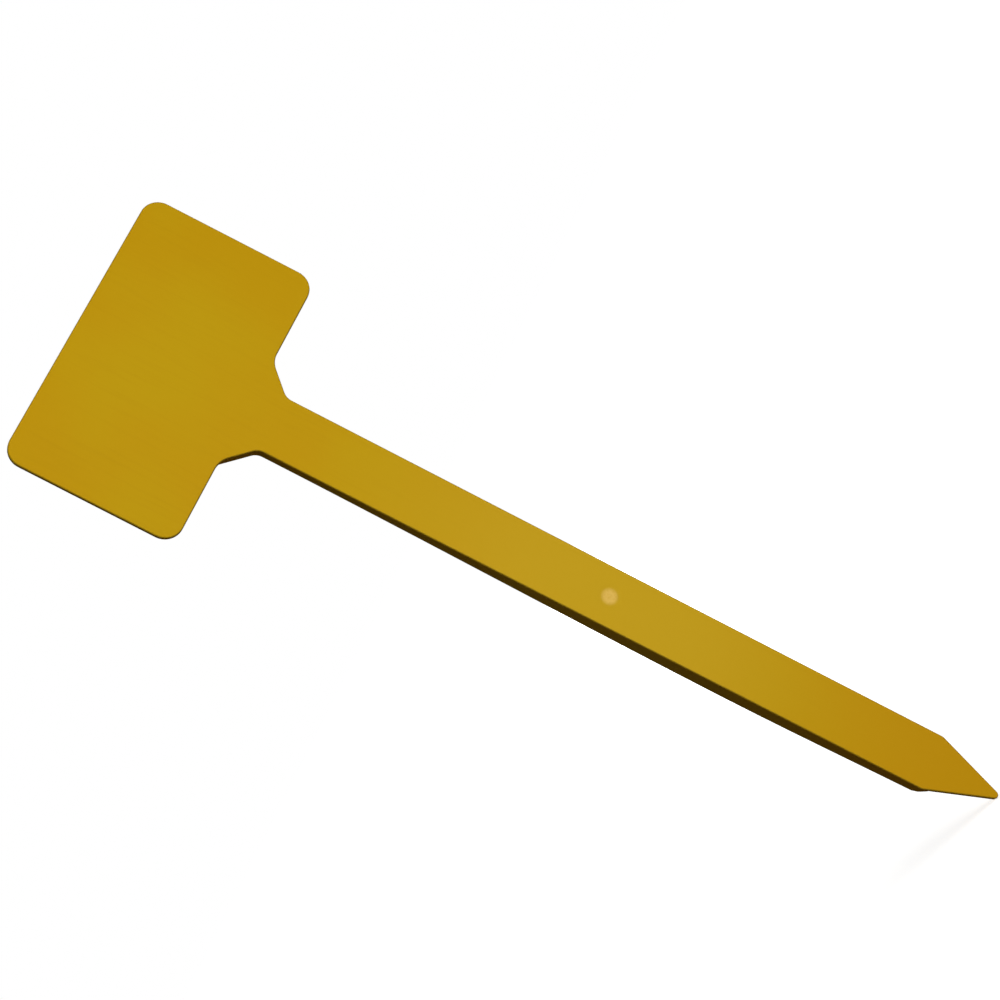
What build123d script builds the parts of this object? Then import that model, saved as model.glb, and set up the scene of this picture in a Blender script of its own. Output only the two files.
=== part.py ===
from build123d import *

import os
from math import asin, atan2, cos, hypot, pi, sin, tan

# A T-shaped plant label, moulded in one piece, upright as it stands in use. Millimetres.
# +Z runs from the point up to the label plate, the writing face looks along -Y, and +X is to its right.
# The origin is on the stem's centre line, on the front face, level with the soil.

# Outline, seen from the front
OVERALL_LENGTH = 250.0
PLANTING_DEPTH = 70.0
PLATE_WIDTH = 77.5
PLATE_HEIGHT = 45.5
PLATE_CORNER_RADIUS = 4.8
NECK_FLARE = 7.0
NECK_ROUNDING = 3.5
PLATE_NECK_ROUNDING = 5.5
NECK_LAND = 6.0
STEM_NECK_WIDTH = 15.3
STEM_SHOULDER_WIDTH = 14.8
SHOULDER_ROUNDING = 2.0
POINT_LENGTH = 18.0
TIP_RADIUS = 1.0

# Section: depths run back from the front face
SHEET_THICKNESS = 1.2
EDGE_RADIUS = 0.4
FLANGE_NECK_DEPTH = 3.3
FLANGE_BELLY_DEPTH = 6.2
FLANGE_SHOULDER_DEPTH = 4.2
FLANGE_TOP_RUNOUT = 7.0
FLANGE_POINT_RUNOUT = 1.8
FLANGE_END_STEP = 0.3
FLANGE_END_LENGTH = 3.3
FLANGE_ROOT_THICKNESS = 1.4
FLANGE_EDGE_THICKNESS = 1.0
FLANGE_ROOT_FILLET = 0.5

# Marks that moulding leaves: the trimmed gate in its dimple on the front and the ejector pins on the back
GATE_HEIGHT = 36.4
GATE_STUB_DIAMETER = 4.2
GATE_STUB_THICKNESS = 0.35
GATE_STUB_SINK = 0.05
GATE_STUB_ROUNDING = 0.1
GATE_SEAT_CLEARANCE = 0.05
GATE_DIMPLE_DIAMETER = 6.4
GATE_DIMPLE_DEPTH = 0.2
PIN_MARK_DIAMETER = 5.0
PIN_MARK_DEPTH = 0.15
PIN_MARK_INSET = 9.0
PIN_MARKS_ON_STEM = 3

# Levels
TIP_Z = -PLANTING_DEPTH
TOP_Z = TIP_Z + OVERALL_LENGTH
PLATE_LOW_Z = TOP_Z - PLATE_HEIGHT
NECK_Z = PLATE_LOW_Z - NECK_FLARE
WEB_TOP_Z = NECK_Z - NECK_LAND
SOIL_Z = 0.0
SHOULDER_Z = TIP_Z + POINT_LENGTH
WEB_LOW_Z = SHOULDER_Z + SHOULDER_ROUNDING
FLANGE_TOP_Z = PLATE_LOW_Z + FLANGE_TOP_RUNOUT
FLANGE_LOW_Z = SHOULDER_Z - FLANGE_POINT_RUNOUT
SAME_LEVEL = 0.001

# Drawing planes: across the front, and along the side with the depth to the right
FRONT = Plane(origin=(0, 0, 0), x_dir=(1, 0, 0), z_dir=(0, -1, 0))
SIDE = Plane.YZ


def stem_half_width(z):
    """Half the stem's width at a level: its sides close in a little from the neck to the shoulder."""
    share = (NECK_Z - z) / (NECK_Z - SHOULDER_Z)
    return (STEM_NECK_WIDTH + (STEM_SHOULDER_WIDTH - STEM_NECK_WIDTH) * share) / 2


def point_half_angle():
    """The slope of the point's sides, which run from the shoulders to touch the blunt tip's circle."""
    half = stem_half_width(SHOULDER_Z)
    to_tip_centre = POINT_LENGTH - TIP_RADIUS
    return atan2(half, to_tip_centre) - asin(TIP_RADIUS / hypot(half, to_tip_centre))


def mirrored_outline(right_side):
    """A face from its right-hand corners, from the top down, each a point and the radius of its rounding."""
    left_side = [((-x, z), radius) for (x, z), radius in reversed(right_side) if x > 0]
    corners = right_side + left_side
    points = [point for point, radius in corners]
    radii = [radius for point, radius in corners]
    return make_face(FilletPolyline(*points, radius=radii, close=True))


def flat_sheet(outline, *seams):
    """The outline as a sheet with a softened front rim, left square where the next member carries on."""
    sheet = extrude(FRONT * outline, amount=-SHEET_THICKNESS)
    front = sheet.faces().sort_by(Axis.Y)[0]
    rim = [edge for edge in front.edges() if all(abs(edge.center().Z - seam) > SAME_LEVEL for seam in seams)]
    return fillet(rim, min(EDGE_RADIUS, SHEET_THICKNESS / 2))


def disc(diameter, thickness, x, y, z):
    """A round disc that faces the front, with its front face at depth y."""
    return extrude(FRONT.offset(-y) * Pos(x, z) * Circle(diameter / 2), amount=-thickness)


def pin_marks(places):
    """Cutters for the shallow round marks on the back."""
    depth = SHEET_THICKNESS - PIN_MARK_DEPTH
    return [disc(PIN_MARK_DIAMETER, 2 * PIN_MARK_DEPTH, x, depth, z) for x, z in places]


def make_label_plate():
    """The writing plate, with the flared neck and the first stretch of the stem's front."""
    half = PLATE_WIDTH / 2
    neck = stem_half_width(NECK_Z)
    plate = flat_sheet(
        mirrored_outline(
            [
                ((half, TOP_Z), PLATE_CORNER_RADIUS),
                ((half, PLATE_LOW_Z), PLATE_CORNER_RADIUS),
                ((neck + NECK_FLARE, PLATE_LOW_Z), PLATE_NECK_ROUNDING),
                ((neck, NECK_Z), NECK_ROUNDING),
                ((stem_half_width(WEB_TOP_Z), WEB_TOP_Z), 0),
            ]
        ),
        WEB_TOP_Z,
    )
    across = half - PIN_MARK_INSET
    levels = (TOP_Z - PIN_MARK_INSET, PLATE_LOW_Z + PIN_MARK_INSET)
    return plate - pin_marks([(x, z) for x in (-across, across) for z in levels])


def gate_recess():
    """The gate's round-bottomed dimple in the front face, with the trimmed stub's seat in its middle."""
    reach = GATE_DIMPLE_DIAMETER / 2
    ball_radius = (reach**2 + GATE_DIMPLE_DEPTH**2) / (2 * GATE_DIMPLE_DEPTH)
    dimple = Pos(0, GATE_DIMPLE_DEPTH - ball_radius, GATE_HEIGHT) * Sphere(ball_radius)
    seat_diameter = GATE_STUB_DIAMETER + 2 * GATE_SEAT_CLEARANCE
    return dimple + disc(seat_diameter, GATE_STUB_SINK + GATE_STUB_THICKNESS, 0, 0, GATE_HEIGHT)


def make_stem_web():
    """The stem's flat front strip, with the gate's dimple in its face."""
    web = flat_sheet(
        mirrored_outline(
            [
                ((stem_half_width(WEB_TOP_Z), WEB_TOP_Z), 0),
                ((stem_half_width(WEB_LOW_Z), WEB_LOW_Z), 0),
            ]
        ),
        WEB_TOP_Z,
        WEB_LOW_Z,
    )
    pitch = (WEB_TOP_Z - WEB_LOW_Z) / PIN_MARKS_ON_STEM
    levels = [WEB_LOW_Z + pitch * (n + 0.5) for n in range(PIN_MARKS_ON_STEM)]
    return web - gate_recess() - pin_marks([(0, z) for z in levels])


def make_point():
    """The flat point, from its rounded shoulders to its blunt tip."""
    half = stem_half_width(SHOULDER_Z)
    sharp_tip_z = SHOULDER_Z - half / tan(point_half_angle())
    return flat_sheet(
        mirrored_outline(
            [
                ((stem_half_width(WEB_LOW_Z), WEB_LOW_Z), 0),
                ((half, SHOULDER_Z), SHOULDER_ROUNDING),
                ((0, sharp_tip_z), TIP_RADIUS),
            ]
        ),
        WEB_LOW_Z,
    )


def flange_section(height):
    """The wall's section up to a height: x is 0 on its outer side, and the root fillet is on the inside."""
    belly_rise = FLANGE_BELLY_DEPTH - SHEET_THICKNESS
    draft = atan2(FLANGE_ROOT_THICKNESS - FLANGE_EDGE_THICKNESS, belly_rise)
    inner_side = Vector(sin(draft), cos(draft))
    inner_root = Vector(-FLANGE_ROOT_THICKNESS, 0)
    fillet_reach = FLANGE_ROOT_FILLET * tan((pi / 2 - draft) / 2)
    fillet_top = inner_root + inner_side * fillet_reach
    fillet_foot = inner_root - Vector(fillet_reach, 0)
    inner_top = inner_root + inner_side * (height / cos(draft))
    straight_sides = Polyline(fillet_foot, (0, 0), (0, height), inner_top, fillet_top)
    return make_face([straight_sides, TangentArc(fillet_top, fillet_foot, tangent=-inner_side)])


def flange_depth_outline():
    """The flanges seen from the side, between the sheet's back and their free edge."""
    neck_end = Vector(FLANGE_NECK_DEPTH, NECK_Z)
    belly = Vector(FLANGE_BELLY_DEPTH, SOIL_Z)
    low_end = Vector(FLANGE_SHOULDER_DEPTH, FLANGE_LOW_Z + FLANGE_END_LENGTH)
    free_edge = Spline(neck_end, belly, low_end, tangents=[(0, -1), (0, -1), low_end - belly])
    ends_and_foot = Polyline(
        low_end,
        (SHEET_THICKNESS + FLANGE_END_STEP, FLANGE_LOW_Z),
        (SHEET_THICKNESS, FLANGE_LOW_Z),
        (SHEET_THICKNESS, FLANGE_TOP_Z),
        (SHEET_THICKNESS + FLANGE_END_STEP, FLANGE_TOP_Z),
        (FLANGE_NECK_DEPTH, PLATE_LOW_Z),
        neck_end,
    )
    return make_face([free_edge, ends_and_foot])


def make_right_flange():
    """The wall behind the right edge, drafted and rooted in a fillet, from the shoulder up to the plate.

    Its free edge is deepest at the soil, where a pushed stake bends most. Its ends fade out, one around the
    shoulder and the other behind the plate.
    """
    shoulder = stem_half_width(SHOULDER_Z)
    neck = stem_half_width(NECK_Z)
    path = FilletPolyline(
        (shoulder - FLANGE_POINT_RUNOUT * tan(point_half_angle()), SHEET_THICKNESS, FLANGE_LOW_Z),
        (shoulder, SHEET_THICKNESS, SHOULDER_Z),
        (neck, SHEET_THICKNESS, NECK_Z),
        (neck + NECK_FLARE + FLANGE_TOP_RUNOUT, SHEET_THICKNESS, FLANGE_TOP_Z),
        radius=[SHOULDER_ROUNDING, NECK_ROUNDING],
    )
    section_plane = Plane(origin=path @ 0, x_dir=(1, 0, 0), z_dir=path % 0)
    wall = sweep(section_plane * flange_section(FLANGE_BELLY_DEPTH), path=path)
    return wall & extrude(SIDE * flange_depth_outline(), amount=PLATE_WIDTH, both=True)


def make_gate_mark():
    """The trimmed stub in its seat, a little below the front face."""
    stub = disc(GATE_STUB_DIAMETER, GATE_STUB_THICKNESS, 0, GATE_STUB_SINK, GATE_HEIGHT)
    return fillet(stub.faces().sort_by(Axis.Y)[0].edges(), min(GATE_STUB_ROUNDING, GATE_STUB_THICKNESS / 2))


def main():
    right_flange = make_right_flange()
    nodes = {
        "label_plate": make_label_plate(),
        "stem_web": make_stem_web(),
        "left_flange": mirror(right_flange, about=SIDE),
        "right_flange": right_flange,
        "point": make_point(),
        "gate_mark": make_gate_mark(),
    }
    os.makedirs("parts", exist_ok=True)
    for name, solid in nodes.items():
        export_step(solid, f"parts/{name}.step")


main()
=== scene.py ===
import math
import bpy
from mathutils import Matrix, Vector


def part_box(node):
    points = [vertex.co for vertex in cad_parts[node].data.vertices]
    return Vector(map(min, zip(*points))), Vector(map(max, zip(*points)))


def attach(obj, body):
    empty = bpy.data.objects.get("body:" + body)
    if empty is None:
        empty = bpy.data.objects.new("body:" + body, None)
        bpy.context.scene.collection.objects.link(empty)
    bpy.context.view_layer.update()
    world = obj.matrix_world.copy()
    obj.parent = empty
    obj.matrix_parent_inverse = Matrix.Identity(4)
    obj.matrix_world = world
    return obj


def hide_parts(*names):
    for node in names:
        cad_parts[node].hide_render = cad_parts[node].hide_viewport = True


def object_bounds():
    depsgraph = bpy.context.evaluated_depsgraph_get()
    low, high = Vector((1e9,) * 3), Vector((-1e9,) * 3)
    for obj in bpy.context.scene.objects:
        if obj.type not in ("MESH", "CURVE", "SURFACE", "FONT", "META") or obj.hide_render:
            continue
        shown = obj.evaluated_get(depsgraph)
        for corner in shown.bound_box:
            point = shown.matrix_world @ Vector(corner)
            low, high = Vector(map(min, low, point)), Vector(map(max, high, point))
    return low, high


bl_info = {
    "name": "Plant Label Stake",
    "version": (1, 0, 0),
    "blender": (4, 5, 0),
    "location": "View3D > Sidebar > Plant Label",
    "description": "Finishes a moulded plant label on its CAD frame and sets it on a plain studio stage",
    "category": "Object",
}

import bmesh
import bpy
from bpy.props import FloatProperty, FloatVectorProperty, IntProperty, PointerProperty
from mathutils import Quaternion, Vector, noise

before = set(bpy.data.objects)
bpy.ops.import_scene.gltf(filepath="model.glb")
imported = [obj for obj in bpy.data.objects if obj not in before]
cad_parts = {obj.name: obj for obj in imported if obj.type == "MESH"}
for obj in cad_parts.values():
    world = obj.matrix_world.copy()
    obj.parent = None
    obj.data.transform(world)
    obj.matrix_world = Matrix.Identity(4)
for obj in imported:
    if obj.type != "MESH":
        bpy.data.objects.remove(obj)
CAD_LOW, CAD_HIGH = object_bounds()
CAD_MIDDLE = (CAD_LOW + CAD_HIGH) / 2
GATE_LOW, GATE_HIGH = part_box("gate_mark")
GATE_MIDDLE = (GATE_LOW + GATE_HIGH) / 2
MM = 0.001

# A Mix node has sockets of the same names for numbers, vectors and colours. These are the ones for colours.
MIX_A = 6
MIX_B = 7
MIX_RESULT = 2

POLYPROPYLENE_IOR = 1.49

# The part of a noise, which runs from 0 to 1, over which each pattern goes from its least to its most.
EVEN_PIGMENT = {"From Min": 0.36, "From Max": 0.66}
FLOW_STREAK = {"From Min": 0.45, "From Max": 0.75}
SATIN = {"From Min": 0.3, "From Max": 0.7}
SCUFF = {"From Min": 0.68, "From Max": 0.78}
TORN_RIDGE = {"From Min": 0.3, "From Max": 0.55}

# How squarely a surface faces the front or the back, from 0 to 1, where a rim leaves the face and the side.
OFF_THE_FACE = {"From Min": 0.97, "From Max": 0.8}
OFF_THE_SIDE = {"From Min": 0.1, "From Max": 0.3}


def linear(hex_colour):
    """An sRGB hex colour as linear red, green, blue and an alpha of one."""
    channels = [int(hex_colour[i : i + 2], 16) / 255 for i in (0, 2, 4)]
    return (*[c / 12.92 if c <= 0.04045 else ((c + 0.055) / 1.055) ** 2.4 for c in channels], 1.0)


def add_node(tree, kind, inputs=None, **settings):
    """Adds a shader node with its settings, each input being a value or the socket that feeds it."""
    made = tree.nodes.new(kind)
    for name, value in settings.items():
        setattr(made, name, value)
    for name, value in (inputs or {}).items():
        if isinstance(value, bpy.types.NodeSocket):
            tree.links.new(value, made.inputs[name])
        else:
            made.inputs[name].default_value = value
    return made


def colour_prop(name, description, hex_colour):
    """A colour that a user can pick, from its sRGB hex value."""
    colour = linear(hex_colour)
    return FloatVectorProperty(
        name=name, description=description, subtype="COLOR", size=len(colour), min=0, max=1, default=colour
    )


def length_prop(name, description, millimetres):
    """A length that a user can set, from its size in millimetres."""
    return FloatProperty(name=name, description=description, unit="LENGTH", min=0, default=millimetres * MM)


def angle_prop(name, description, degrees):
    """An angle that a user can set, from its size in degrees."""
    return FloatProperty(name=name, description=description, subtype="ANGLE", default=math.radians(degrees))


def power_prop(name, description, watts):
    """A lamp's power that a user can set, in watts."""
    return FloatProperty(name=name, description=description, unit="POWER", min=0, default=watts)


def share_prop(name, description, share):
    """A share that a user can set, from none at 0 to whole at 1."""
    return FloatProperty(name=name, description=description, subtype="FACTOR", min=0, max=1, default=share)


class PlantLabelPlastic(bpy.types.PropertyGroup):
    """Colours and pattern sizes of the moulded plastic."""

    face: colour_prop("Face", "Mustard yellow of the moulded sheet", "B7940F")
    warm: colour_prop("Warm patches", "Where the pigment is a little denser", "B78E0C")
    mottle_size: length_prop("Mottle", "Width of a patch of denser pigment", 45)
    streak: colour_prop("Flow streaks", "Darker lines that the melt leaves along its way", "AB840C")
    streak_share: share_prop("Streak share", "How much of that tone the strongest streaks have", 0.2)
    streak_width: length_prop("Streak width", "Width of a flow streak", 1.1)
    streak_length: length_prop("Streak length", "Length of a flow streak along the stem", 22)
    # Painted sheen: the stem is painted paler and brighter around the gate, fading out with the distance,
    # in place of the light and sheen it catches there.
    painted_sheen: colour_prop("Gate blush", "Paler, cloudier plastic around the gate", "BD991C")
    painted_sheen_whole: length_prop("Blush whole", "Distance from the gate up to which the blush is whole", 8)
    painted_sheen_end: length_prop("Blush ends", "Distance from the gate at which the blush has faded out", 90)
    # Painted shade: the point is painted darker towards the tip, in place of the light falling off there.
    tip_shade: colour_prop("Browned end", "Tone of the point, which fills last", "B88A0D")
    tip_shade_whole: length_prop("Browning whole", "Height over the tip up to which it is whole", 10)
    tip_shade_end: length_prop("Browning ends", "Height over the tip at which it has faded out", 84)
    # Painted shade: an olive tone on the rounded rims, in place of the shade where they turn away from the
    # light.
    rim: colour_prop("Handled rim", "Olive tone that handling leaves on the rounded rims", "86701A")
    rim_shade_share: share_prop("Rim wear", "How much of that tone the rims have", 0.7)
    gloss: share_prop("Gloss", "Specular level of the moulded skin", 0.2)
    satin_least: share_prop("Satin, least", "Roughness of the moulded skin where it is shiniest", 0.47)
    satin_most: share_prop("Satin, most", "Roughness of the moulded skin where it is dullest", 0.56)
    scuff_dulling: share_prop("Scuff dulling", "Roughness that a handling scuff adds", 0.1)
    scuff_width: length_prop("Scuff width", "Width of a handling scuff", 0.35)
    scuff_length: length_prop("Scuff length", "Length of a handling scuff", 16)
    scuff_turn: angle_prop("Scuff turn", "Turn of the noise that spreads the scuffs", 28)
    grain_size: length_prop("Grain", "Spacing of the mould's eroded texture as drawn", 0.5)
    grain_depth: length_prop("Grain depth", "Height of the mould's eroded texture", 0.012)


class PlantLabelGate(bpy.types.PropertyGroup):
    """Shape and colours of the scar where the moulding gate was trimmed."""

    pale: colour_prop("Torn plastic", "Stress-whitened yellow of the torn stub", "DAB557")
    deep: colour_prop("Torn pits", "Less whitened plastic between the ridges", "D2AB4A")
    gloss: share_prop("Gloss", "Specular level of the torn plastic", 0.15)
    rough_least: share_prop("Rough, least", "Roughness of the torn plastic where it is shiniest", 0.6)
    rough_most: share_prop("Rough, most", "Roughness of the torn plastic where it is dullest", 0.85)
    whole_reach: length_prop("Whitened", "Radius within which the plastic is fully whitened", 1.2)
    fade_reach: length_prop("Whitening ends", "Radius at which the whitening has faded out", 2.6)
    depth_stretch: FloatProperty(
        name="Depth stretch",
        description="How many times sooner the whitening ends in depth than along the face",
        min=1,
        default=4,
    )
    lip: length_prop("Lip", "How far the torn skin reaches beyond the stub, over its seat's edge", 0.45)
    sink: length_prop("Sink", "How far the lip's edge has melted into the dimple", 0.012)
    dimple_radius: length_prop("Dimple radius", "Radius of the moulded dimple around the scar", 3.2)
    dimple_depth: length_prop("Dimple depth", "Depth of the moulded dimple around the scar", 0.2)
    rings: IntProperty(name="Rings", description="Rings of faces across the scar", min=4, default=18)
    spokes: IntProperty(name="Spokes", description="Faces around the scar", min=12, default=56)
    rim_width: length_prop("Rim width", "Width over which the torn face meets the dimple", 0.7)
    nub_radius: length_prop("Nub radius", "Radius of the nub left in the middle", 0.75)
    nub_height: length_prop("Nub height", "Rise of the nub over the scar", 0.04)
    rise: length_prop("Rise", "Rise of the torn face over the dimple", 0.05)
    ridge_spacing: length_prop("Ridge spacing", "Spacing of the cutter's drag ridges", 0.42)
    ridge_height: length_prop("Ridge height", "Height of the cutter's drag ridges", 0.012)
    ridge_slant: FloatProperty(
        name="Ridge slant",
        description="How far the drag ridges run sideways for each unit that they fall",
        default=0.3,
    )
    tear_size: length_prop("Tear size", "Width of one torn lump", 0.6)
    tear_height: length_prop("Tear height", "Height of the torn lumps", 0.03)


class PlantLabelStage(bpy.types.PropertyGroup):
    """Camera, lights, floor and flags."""

    view_azimuth: angle_prop("View azimuth", "Camera's turn to the right of straight in front", -21.905)
    view_elevation: angle_prop("View elevation", "Camera's height over the object's middle", 3.762)
    view_roll: angle_prop("View roll", "Turn of the picture about the line of sight", 62.783)
    view_distance: length_prop("View distance", "Camera's distance from the object's middle", 705)
    aim_side: length_prop("Aim, side", "Point that the camera looks at, right of the stem's middle", 9.32)
    aim_height: length_prop("Aim, height", "Point that the camera looks at, over the soil", 70.43)
    lens: FloatProperty(name="Lens", description="Focal length", unit="CAMERA", min=1, default=104.93)
    box_distance: length_prop("Box distance", "Distance of each soft box from the object's middle", 1500)
    box_size: length_prop("Box size", "Width of each soft box", 480)
    key_azimuth: angle_prop("Key azimuth", "Main light's turn to the right of straight in front", 4)
    key_elevation: angle_prop("Key elevation", "Main light's height over the object's middle", 12)
    key_power: power_prop("Key power", "Main light", 21.2)
    rear_azimuth: angle_prop("Rear azimuth", "Rear light's turn to the right of straight in front", 178)
    rear_elevation: angle_prop("Rear elevation", "Rear light's height over the object's middle", 15)
    rear_power: power_prop("Rear power", "Light on the back", 17)
    side_azimuth: angle_prop("Side azimuth", "Side light's turn to the right of straight in front", 102)
    side_elevation: angle_prop("Side elevation", "Side light's height over the object's middle", 20)
    side_power: power_prop("Side power", "Light on the right side", 6)
    fill: share_prop("Fill", "Light of the white room on dull surfaces", 0.03)
    floor_size: length_prop("Floor size", "Width of the floor", 12000)
    floor_paper: colour_prop("Floor paper", "White of the floor where it is seen", "F4F4F4")
    floor_bounce: colour_prop("Floor bounce", "Dim, warm tone of its light on dull surfaces", "857258")
    floor_glow: share_prop("Floor glow", "Its own light beside the object, where it takes shadows", 0.53)
    floor_glow_reach: length_prop("Glow reach", "Distance at which it glows as white as the room", 600)
    flag_velvet: colour_prop("Flag velvet", "Black of the flags", "060606")
    flag_gap: length_prop("Flag gap", "Gap between the plate and the black flags around it", 8)
    flag_lift: length_prop("Flag lift", "How far the lowest black flag lies over the floor", 0.5)
    flag_front: length_prop("Flag front", "How far the black flags run forward of the writing face", 60)
    flag_back: length_prop("Flag back", "How far the black flags run back from the writing face", 1500)


def seen_directly(tree):
    """One for a ray from the camera, a gloss or a see-through surface, so that they all see white."""
    path = add_node(tree, "ShaderNodeLightPath")
    shiny = add_node(
        tree,
        "ShaderNodeMath",
        {0: path.outputs["Is Camera Ray"], 1: path.outputs["Is Glossy Ray"]},
        operation="MAXIMUM",
    )
    return add_node(
        tree,
        "ShaderNodeMath",
        {0: shiny.outputs[0], 1: path.outputs["Is Transmission Ray"]},
        operation="MAXIMUM",
    ).outputs[0]


def new_material(name):
    """An empty material of that name, and its node tree."""
    material = bpy.data.materials.new(name)
    material.use_nodes = True
    material.node_tree.nodes.clear()
    return material, material.node_tree


def flow_streaks(tree, place, plastic):
    """The share of the darker lines that the melt leaves along the stem and up the plate."""
    along = Vector((1 / plastic.streak_width, 1 / plastic.streak_width, 1 / plastic.streak_length))
    stretched = add_node(tree, "ShaderNodeVectorMath", {0: place, 1: along}, operation="MULTIPLY")
    flow = add_node(
        tree,
        "ShaderNodeTexNoise",
        {
            "Vector": stretched.outputs["Vector"],
            "Scale": 1,
            "Detail": 4,
            "Roughness": 0.6,
            "Distortion": 0.4,
        },
    )
    return add_node(
        tree,
        "ShaderNodeMapRange",
        {"Value": flow.outputs["Fac"], **FLOW_STREAK, "To Max": plastic.streak_share},
        interpolation_type="SMOOTHSTEP",
    ).outputs["Result"]


def around_gate(tree, place, whole, end, depth_stretch=1):
    """One around the gate's front, fading out with the distance.

    Depth is stretched before the distance is taken, so that a stretched fade stays near the skin.
    """
    front = Vector((GATE_MIDDLE.x, GATE_LOW.y, GATE_MIDDLE.z))
    from_gate = add_node(tree, "ShaderNodeVectorMath", {0: place, 1: front}, operation="SUBTRACT")
    stretched = add_node(
        tree,
        "ShaderNodeVectorMath",
        {0: from_gate.outputs["Vector"], 1: (1, depth_stretch, 1)},
        operation="MULTIPLY",
    )
    reach = add_node(tree, "ShaderNodeVectorMath", {0: stretched.outputs["Vector"]}, operation="LENGTH")
    return add_node(
        tree,
        "ShaderNodeMapRange",
        {"Value": reach.outputs["Value"], "From Min": whole, "From Max": end, "To Min": 1, "To Max": 0},
        interpolation_type="SMOOTHSTEP",
    ).outputs["Result"]


def stress_whitening(tree, place, gate):
    """One in the middle of the gate's scar, fading out around it and soon below the skin."""
    return around_gate(tree, place, gate.whole_reach, gate.fade_reach, gate.depth_stretch)


def painted_tip_shade(tree, place, plastic):
    """One at the tip, fading out with the height: where the point is painted darker, a painted shade."""
    height = add_node(tree, "ShaderNodeSeparateXYZ", {"Vector": place}).outputs["Z"]
    return add_node(
        tree,
        "ShaderNodeMapRange",
        {
            "Value": height,
            "From Min": CAD_LOW.z + plastic.tip_shade_whole,
            "From Max": CAD_LOW.z + plastic.tip_shade_end,
            "To Min": 1,
            "To Max": 0,
        },
        interpolation_type="SMOOTHSTEP",
    ).outputs["Result"]


def painted_rim_shade(tree, plastic):
    """The share of painted shade on the rounded rims, between the flat faces and the upright sides."""
    normal = add_node(tree, "ShaderNodeNewGeometry").outputs["Normal"]
    facing = add_node(tree, "ShaderNodeSeparateXYZ", {"Vector": normal}).outputs["Y"]
    squarely = add_node(tree, "ShaderNodeMath", {0: facing}, operation="ABSOLUTE").outputs[0]
    off_the_face = add_node(
        tree, "ShaderNodeMapRange", {"Value": squarely, **OFF_THE_FACE, "To Max": plastic.rim_shade_share}
    )
    off_the_side = add_node(tree, "ShaderNodeMapRange", {"Value": squarely, **OFF_THE_SIDE})
    return add_node(
        tree,
        "ShaderNodeMath",
        {0: off_the_face.outputs["Result"], 1: off_the_side.outputs["Result"]},
        operation="MULTIPLY",
    ).outputs[0]


def satin_roughness(tree, place, mottle, plastic):
    """Roughness of the moulded skin, uneven as its pigment is and higher on a few handling scuffs."""
    satin = add_node(
        tree,
        "ShaderNodeMapRange",
        {"Value": mottle, **SATIN, "To Min": plastic.satin_least, "To Max": plastic.satin_most},
    )
    across = Vector((1 / plastic.scuff_length, 1 / plastic.scuff_length, 1 / plastic.scuff_width))
    stretched = add_node(
        tree,
        "ShaderNodeMapping",
        {"Vector": place, "Rotation": (0, plastic.scuff_turn, 0), "Scale": across},
    )
    handling = add_node(
        tree, "ShaderNodeTexNoise", {"Vector": stretched.outputs["Vector"], "Scale": 1, "Detail": 2}
    )
    scuffs = add_node(
        tree,
        "ShaderNodeMapRange",
        {"Value": handling.outputs["Fac"], **SCUFF, "To Max": plastic.scuff_dulling},
    )
    return add_node(
        tree, "ShaderNodeMath", {0: satin.outputs["Result"], 1: scuffs.outputs["Result"]}, operation="ADD"
    ).outputs[0]


def mould_grain(tree, place, plastic):
    """Normals of the texture that spark erosion leaves in the mould."""
    # The real texture is about 0.15 mm, finer than a pixel of the picture, so it is drawn coarser to show.
    grain = add_node(
        tree,
        "ShaderNodeTexNoise",
        {"Vector": place, "Scale": 1 / plastic.grain_size, "Detail": 2, "Roughness": 0.6},
    )
    return add_node(
        tree,
        "ShaderNodeBump",
        {"Height": grain.outputs["Fac"], "Strength": 1, "Distance": plastic.grain_depth},
    ).outputs["Normal"]


def moulded_polypropylene(plastic, gate):
    """Injection-moulded polypropylene: a soft satin yellow.

    The pigment is not quite even and the melt leaves faint streaks along its way, so the flat faces are
    never one colour. Around the gate they are painted paler and brighter, a painted sheen, and towards the
    point they are painted darker, a painted shade. The mould's eroded texture breaks the gloss into a fine
    grain, and handling leaves a few scuffs. The rounded rims are painted an olive tone, a painted shade.
    """
    name = "moulded_polypropylene_satin"
    if name in bpy.data.materials:
        return bpy.data.materials[name]
    material, tree = new_material(name)
    place = add_node(tree, "ShaderNodeTexCoord").outputs["Object"]
    mottle = add_node(
        tree,
        "ShaderNodeTexNoise",
        {"Vector": place, "Scale": 1 / plastic.mottle_size, "Detail": 2, "Roughness": 0.4},
    ).outputs["Fac"]
    even_pigment = add_node(
        tree, "ShaderNodeMapRange", {"Value": mottle, **EVEN_PIGMENT}, interpolation_type="SMOOTHSTEP"
    )

    # Each tone lies over the ones before it, by its own share.
    colour = plastic.warm
    for share, tone in (
        (even_pigment.outputs["Result"], plastic.face),
        (flow_streaks(tree, place, plastic), plastic.streak),
        # Painted sheen around the gate.
        (around_gate(tree, place, plastic.painted_sheen_whole, plastic.painted_sheen_end), plastic.painted_sheen),
        # Painted shade towards the tip.
        (painted_tip_shade(tree, place, plastic), plastic.tip_shade),
        (stress_whitening(tree, place, gate), gate.pale),
        # Painted shade on the rounded rims.
        (painted_rim_shade(tree, plastic), plastic.rim),
    ):
        layer = {"Factor": share, MIX_A: colour, MIX_B: tone}
        colour = add_node(tree, "ShaderNodeMix", layer, data_type="RGBA").outputs[MIX_RESULT]

    shader = add_node(
        tree,
        "ShaderNodeBsdfPrincipled",
        {
            "Base Color": colour,
            "Roughness": satin_roughness(tree, place, mottle, plastic),
            "Normal": mould_grain(tree, place, plastic),
            "IOR": POLYPROPYLENE_IOR,
            "Specular IOR Level": plastic.gloss,
        },
    )
    add_node(tree, "ShaderNodeOutputMaterial", {"Surface": shader.outputs[0]})
    return material


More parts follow.
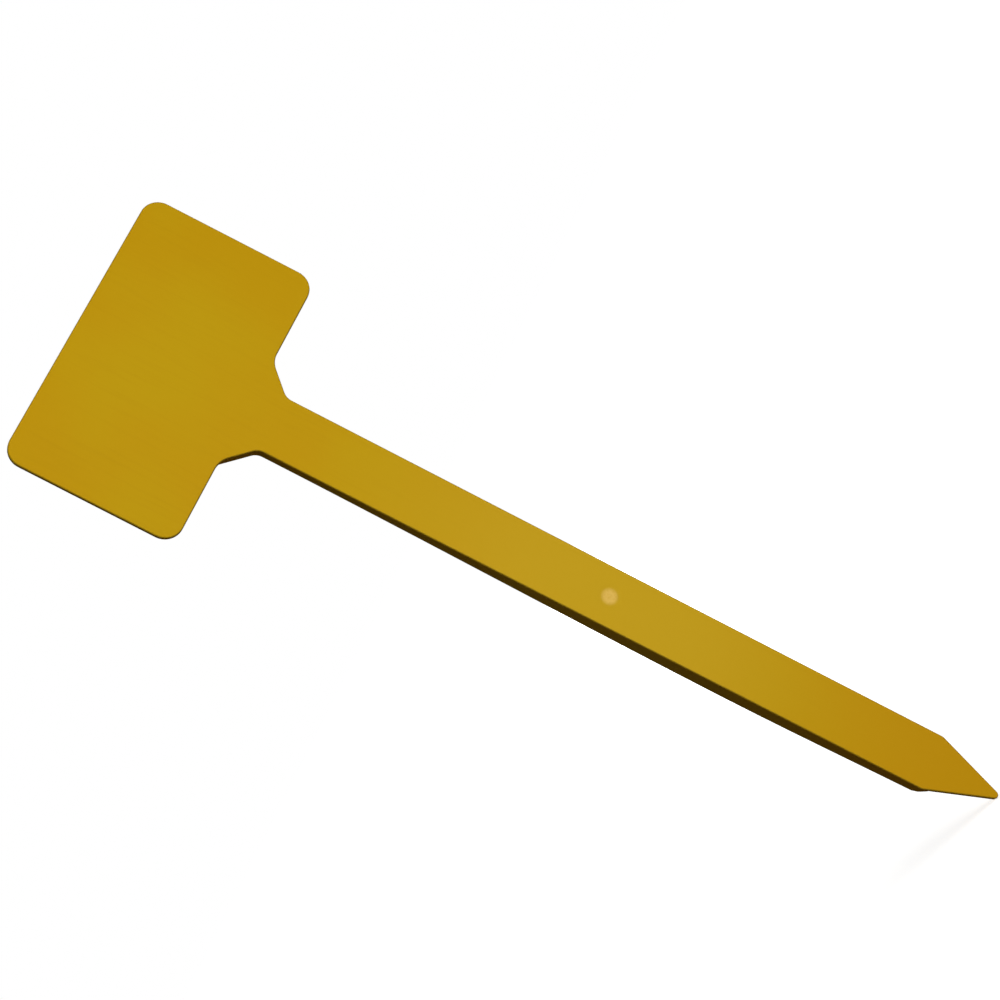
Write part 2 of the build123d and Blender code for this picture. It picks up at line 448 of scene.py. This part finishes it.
def torn_polypropylene(plastic, gate):
    """Polypropylene torn off at the gate: stretching whitens it, so it is pale and duller than the skin."""
    material, tree = new_material("torn_polypropylene_whitened")
    place = add_node(tree, "ShaderNodeTexCoord").outputs["Object"]
    lumps = add_node(
        tree,
        "ShaderNodeTexNoise",
        {"Vector": place, "Scale": 1 / gate.tear_size, "Detail": 4, "Roughness": 0.65},
    ).outputs["Fac"]
    ridges = add_node(
        tree, "ShaderNodeMapRange", {"Value": lumps, **TORN_RIDGE}, interpolation_type="SMOOTHSTEP"
    )
    torn = add_node(
        tree,
        "ShaderNodeMix",
        {"Factor": ridges.outputs["Result"], MIX_A: gate.deep, MIX_B: gate.pale},
        data_type="RGBA",
    )
    whitening = stress_whitening(tree, place, gate)
    # At its edge the scar fades into the stem's painted sheen colour.
    whitened = add_node(
        tree,
        "ShaderNodeMix",
        {"Factor": whitening, MIX_A: plastic.painted_sheen, MIX_B: torn.outputs[MIX_RESULT]},
        data_type="RGBA",
    )
    roughness = add_node(
        tree, "ShaderNodeMapRange", {"Value": lumps, "To Min": gate.rough_least, "To Max": gate.rough_most}
    )
    # The same kind of lumps as in the mesh, half as high, down to sizes that are too fine for it.
    bump = add_node(
        tree, "ShaderNodeBump", {"Height": lumps, "Strength": 1, "Distance": gate.tear_height / 2}
    )
    shader = add_node(
        tree,
        "ShaderNodeBsdfPrincipled",
        {
            "Base Color": whitened.outputs[MIX_RESULT],
            "Roughness": roughness.outputs["Result"],
            "Normal": bump.outputs["Normal"],
            "IOR": POLYPROPYLENE_IOR,
            "Specular IOR Level": gate.gloss,
        },
    )
    add_node(tree, "ShaderNodeOutputMaterial", {"Surface": shader.outputs[0]})
    return material


def dress(context, *nodes):
    """Gives CAD nodes the moulded plastic, with their shape as it is."""
    material = moulded_polypropylene(context.scene.plant_label_plastic, context.scene.plant_label_gate)
    for node in nodes:
        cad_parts[node].material_slots[0].material = material


class PLANTLABEL_OT_dress_plate(bpy.types.Operator):
    """Finish the label plate with its flared neck"""

    bl_idname = "plant_label.dress_plate"
    bl_label = "Label Plate"

    def execute(self, context):
        dress(context, "label_plate")
        return {"FINISHED"}


class PLANTLABEL_OT_dress_stem(bpy.types.Operator):
    """Finish the stem's front strip"""

    bl_idname = "plant_label.dress_stem"
    bl_label = "Stem Web"

    def execute(self, context):
        dress(context, "stem_web")
        return {"FINISHED"}


class PLANTLABEL_OT_dress_flanges(bpy.types.Operator):
    """Finish the two stiffening flanges behind the stem"""

    bl_idname = "plant_label.dress_flanges"
    bl_label = "Stem Flanges"

    def execute(self, context):
        dress(context, "left_flange", "right_flange")
        return {"FINISHED"}


class PLANTLABEL_OT_dress_point(bpy.types.Operator):
    """Finish the flat point"""

    bl_idname = "plant_label.dress_point"
    bl_label = "Point"

    def execute(self, context):
        dress(context, "point")
        return {"FINISHED"}


def dimple_depth(gate, reach):
    """Depth of the moulded dimple at a distance from its middle."""
    return gate.dimple_depth * (1 - (reach / gate.dimple_radius) ** 2)


def torn_depth(gate, skirt, side, height):
    """Depth of the torn surface at a place across the scar, whose edge lies at the distance skirt."""
    reach = math.hypot(side, height)
    dimple = dimple_depth(gate, reach)
    nub = gate.nub_height * math.exp(-((reach / gate.nub_radius) ** 2))
    across_ridges = side + gate.ridge_slant * height
    ridges = gate.ridge_height * math.sin(math.tau * across_ridges / gate.ridge_spacing)
    lumps = gate.tear_height * noise.noise(Vector((side, height, 0)) / gate.tear_size)
    torn = max(GATE_LOW.y, dimple - gate.rise - nub - ridges - lumps)
    to_rim = max(0, 1 - (skirt - reach) / gate.rim_width)
    smooth_step = to_rim**2 * (3 - 2 * to_rim)
    return torn + (dimple + gate.sink - torn) * smooth_step


def torn_scar(gate):
    """The scar, on the stem's centre line: a torn face with a lip over the dimple, and its seated stub."""
    radius = (GATE_HIGH.x - GATE_LOW.x) / 2
    skirt = radius + gate.lip
    shape = bmesh.new()

    def ring_of(reach, depth_at):
        """A ring of vertices at a distance from the scar's middle."""
        turns = [math.tau * spoke / gate.spokes for spoke in range(gate.spokes)]
        places = [(reach * math.cos(turn), reach * math.sin(turn)) for turn in turns]
        return [shape.verts.new((x, depth_at(x, z), GATE_MIDDLE.z + z)) for x, z in places]

    def torn(side, height):
        """Depth of the torn surface at a place across this scar."""
        return torn_depth(gate, skirt, side, height)

    rings = [ring_of(skirt * ring / gate.rings, torn) for ring in range(1, gate.rings + 1)]
    rings.append(ring_of(radius, lambda x, z: dimple_depth(gate, radius)))
    rings.append(ring_of(radius, lambda x, z: GATE_HIGH.y))
    for inner, outer in zip(rings, rings[1:]):
        for spoke in range(gate.spokes):
            following = (spoke + 1) % gate.spokes
            shape.faces.new((inner[spoke], inner[following], outer[following], outer[spoke]))
    top = shape.verts.new((0, torn(0, 0), GATE_MIDDLE.z))
    for spoke in range(gate.spokes):
        shape.faces.new((top, rings[0][(spoke + 1) % gate.spokes], rings[0][spoke]))
    shape.faces.new(rings[-1])
    bmesh.ops.recalc_face_normals(shape, faces=shape.faces)
    for face in shape.faces:
        face.smooth = face.normal.y < 0
    return shape


class PLANTLABEL_OT_tear_gate(bpy.types.Operator):
    """Make the torn scar of the moulding gate in its seat on the stem"""

    bl_idname = "plant_label.tear_gate"
    bl_label = "Gate Scar"

    def execute(self, context):
        gate = context.scene.plant_label_gate
        mesh = bpy.data.meshes.new("gate_scar")
        shape = torn_scar(gate)
        shape.to_mesh(mesh)
        shape.free()
        mesh.materials.append(torn_polypropylene(context.scene.plant_label_plastic, gate))
        scar = bpy.data.objects.new("gate_scar", mesh)
        context.scene.collection.objects.link(scar)
        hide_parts("gate_mark")
        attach(scar, "root")
        return {"FINISHED"}


def direction(azimuth, elevation):
    """Points from the object to a place seen at an azimuth, from straight in front, and an elevation."""
    return Vector(
        (
            math.sin(azimuth) * math.cos(elevation),
            -math.cos(azimuth) * math.cos(elevation),
            math.sin(elevation),
        )
    )


class PLANTLABEL_OT_set_stage(bpy.types.Operator):
    """Set the floor, the white room, the black flags, the soft boxes and the camera"""

    bl_idname = "plant_label.set_stage"
    bl_label = "Stage"

    def execute(self, context):
        stage = context.scene.plant_label_stage
        self.lay_floor(context, stage)
        self.paint_room(context, stage)
        self.hang_flags(context, stage)
        for name, azimuth, elevation, power in (
            ("key_soft_box", stage.key_azimuth, stage.key_elevation, stage.key_power),
            ("rear_soft_box", stage.rear_azimuth, stage.rear_elevation, stage.rear_power),
            ("side_soft_box", stage.side_azimuth, stage.side_elevation, stage.side_power),
        ):
            self.add_soft_box(context, stage, name, direction(azimuth, elevation), power)
        self.place_camera(context, stage)
        context.scene.view_settings.view_transform = "Standard"
        return {"FINISHED"}

    def lay_floor(self, context, stage):
        """A plain pale floor under the point.

        Beside the object the lamps light it and it takes the shadow, and further out it glows as white as
        the room.
        """
        half = stage.floor_size / 2
        level = CAD_LOW.z
        mesh = bpy.data.meshes.new("floor")
        corners = [(-half, -half, level), (half, -half, level), (half, half, level), (-half, half, level)]
        mesh.from_pydata(corners, [], [(0, 1, 2, 3)])
        floor = bpy.data.objects.new("floor", mesh)
        context.scene.collection.objects.link(floor)
        material, tree = new_material("matt_white_paper")
        place = add_node(tree, "ShaderNodeTexCoord").outputs["Object"]
        reach = add_node(tree, "ShaderNodeVectorMath", {0: place}, operation="LENGTH")
        glow = add_node(
            tree,
            "ShaderNodeMapRange",
            {
                "Value": reach.outputs["Value"],
                "From Max": stage.floor_glow_reach,
                "To Min": stage.floor_glow,
                "To Max": 1,
            },
            interpolation_type="SMOOTHSTEP",
        )
        paper = add_node(tree, "ShaderNodeBsdfDiffuse", {"Color": stage.floor_paper})
        light = add_node(tree, "ShaderNodeEmission", {"Strength": glow.outputs["Result"]})
        bright = add_node(tree, "ShaderNodeAddShader", {0: paper.outputs[0], 1: light.outputs[0]})
        dull = add_node(tree, "ShaderNodeBsdfDiffuse", {"Color": stage.floor_bounce})
        shown = add_node(
            tree, "ShaderNodeMixShader", {0: seen_directly(tree), 1: dull.outputs[0], 2: bright.outputs[0]}
        )
        add_node(tree, "ShaderNodeOutputMaterial", {"Surface": shown.outputs[0]})
        mesh.materials.append(material)

    def paint_room(self, context, stage):
        """White where it is seen, and only a dim fill on dull surfaces."""
        world = bpy.data.worlds.new("white_room")
        world.use_nodes = True
        tree = world.node_tree
        tree.nodes.clear()
        white = linear("FFFFFF")
        fill = add_node(tree, "ShaderNodeBackground", {"Color": white, "Strength": stage.fill})
        room = add_node(tree, "ShaderNodeBackground", {"Color": white, "Strength": 1})
        shown = add_node(
            tree, "ShaderNodeMixShader", {0: seen_directly(tree), 1: fill.outputs[0], 2: room.outputs[0]}
        )
        add_node(tree, "ShaderNodeOutputWorld", {"Surface": shown.outputs[0]})
        context.scene.world = world

    def hang_flags(self, context, stage):
        """Black velvet flags on all four sides, which only gloss sees.

        They keep the white room off the rims and the stem's sides, which so stay darker than the faces.
        """
        left = CAD_LOW.x - stage.flag_gap
        right = CAD_HIGH.x + stage.flag_gap
        low = CAD_LOW.z + stage.flag_lift
        top = CAD_HIGH.z + stage.flag_gap
        ring = ((left, low), (left, top), (right, top), (right, low))
        sides = len(ring)
        corners = [(x, y, z) for y in (-stage.flag_front, stage.flag_back) for x, z in ring]
        walls = [(i, (i + 1) % sides, (i + 1) % sides + sides, i + sides) for i in range(sides)]
        mesh = bpy.data.meshes.new("flags")
        mesh.from_pydata(corners, [], walls)
        material, tree = new_material("black_velvet")
        velvet = add_node(tree, "ShaderNodeBsdfDiffuse", {"Color": stage.flag_velvet})
        add_node(tree, "ShaderNodeOutputMaterial", {"Surface": velvet.outputs[0]})
        mesh.materials.append(material)
        flags = bpy.data.objects.new("flags", mesh)
        flags.visible_camera = False
        flags.visible_diffuse = False
        flags.visible_transmission = False
        flags.visible_volume_scatter = False
        flags.visible_shadow = False
        context.scene.collection.objects.link(flags)

    def add_soft_box(self, context, stage, name, towards, power):
        """A square soft box that looks at the object's middle."""
        lamp = bpy.data.lights.new(name, "AREA")
        lamp.shape = "SQUARE"
        lamp.size = stage.box_size
        lamp.energy = power
        box = bpy.data.objects.new(name, lamp)
        box.location = CAD_MIDDLE + towards * stage.box_distance
        box.rotation_mode = "QUATERNION"
        box.rotation_quaternion = towards.to_track_quat("Z", "Y")
        box.visible_camera = False
        box.visible_glossy = False
        context.scene.collection.objects.link(box)

    def place_camera(self, context, stage):
        """The camera at the picture's viewing angle, rolled as the picture is."""
        data = bpy.data.cameras.new("camera")
        data.lens = stage.lens
        camera = bpy.data.objects.new("camera", data)
        context.scene.collection.objects.link(camera)
        towards = direction(stage.view_azimuth, stage.view_elevation)
        camera.location = CAD_MIDDLE + towards * stage.view_distance
        sight = Vector((stage.aim_side, 0, stage.aim_height)) - camera.location
        upright = sight.to_track_quat("-Z", "Y")
        camera.rotation_mode = "QUATERNION"
        camera.rotation_quaternion = upright @ Quaternion((0, 0, 1), -stage.view_roll)
        context.scene.camera = camera


class PLANTLABEL_PT_sidebar(bpy.types.Panel):
    """Lists the plant label's pieces, its stage and their settings"""

    bl_idname = "PLANTLABEL_PT_sidebar"
    bl_label = "Plant Label"
    bl_space_type = "VIEW_3D"
    bl_region_type = "UI"
    bl_category = "Plant Label"

    def draw(self, context):
        for operator in OPERATORS:
            self.layout.operator(operator.bl_idname)
        for name, group in SETTINGS.items():
            box = self.layout.box()
            box.label(text=group.__doc__)
            for prop in group.__annotations__:
                box.prop(getattr(context.scene, name), prop)


SETTINGS = {
    "plant_label_plastic": PlantLabelPlastic,
    "plant_label_gate": PlantLabelGate,
    "plant_label_stage": PlantLabelStage,
}
OPERATORS = (
    PLANTLABEL_OT_dress_plate,
    PLANTLABEL_OT_dress_stem,
    PLANTLABEL_OT_dress_flanges,
    PLANTLABEL_OT_dress_point,
    PLANTLABEL_OT_tear_gate,
    PLANTLABEL_OT_set_stage,
)


def register():
    for kind in (*SETTINGS.values(), *OPERATORS, PLANTLABEL_PT_sidebar):
        bpy.utils.register_class(kind)
    for name, group in SETTINGS.items():
        setattr(bpy.types.Scene, name, PointerProperty(type=group))


def unregister():
    for name in SETTINGS:
        delattr(bpy.types.Scene, name)
    for kind in reversed((*SETTINGS.values(), *OPERATORS, PLANTLABEL_PT_sidebar)):
        bpy.utils.unregister_class(kind)


def main():
    register()
    bpy.ops.plant_label.dress_plate()
    bpy.ops.plant_label.dress_stem()
    bpy.ops.plant_label.dress_flanges()
    bpy.ops.plant_label.dress_point()
    bpy.ops.plant_label.tear_gate()
    bpy.ops.plant_label.set_stage()


if __name__ == "__main__":
    main()
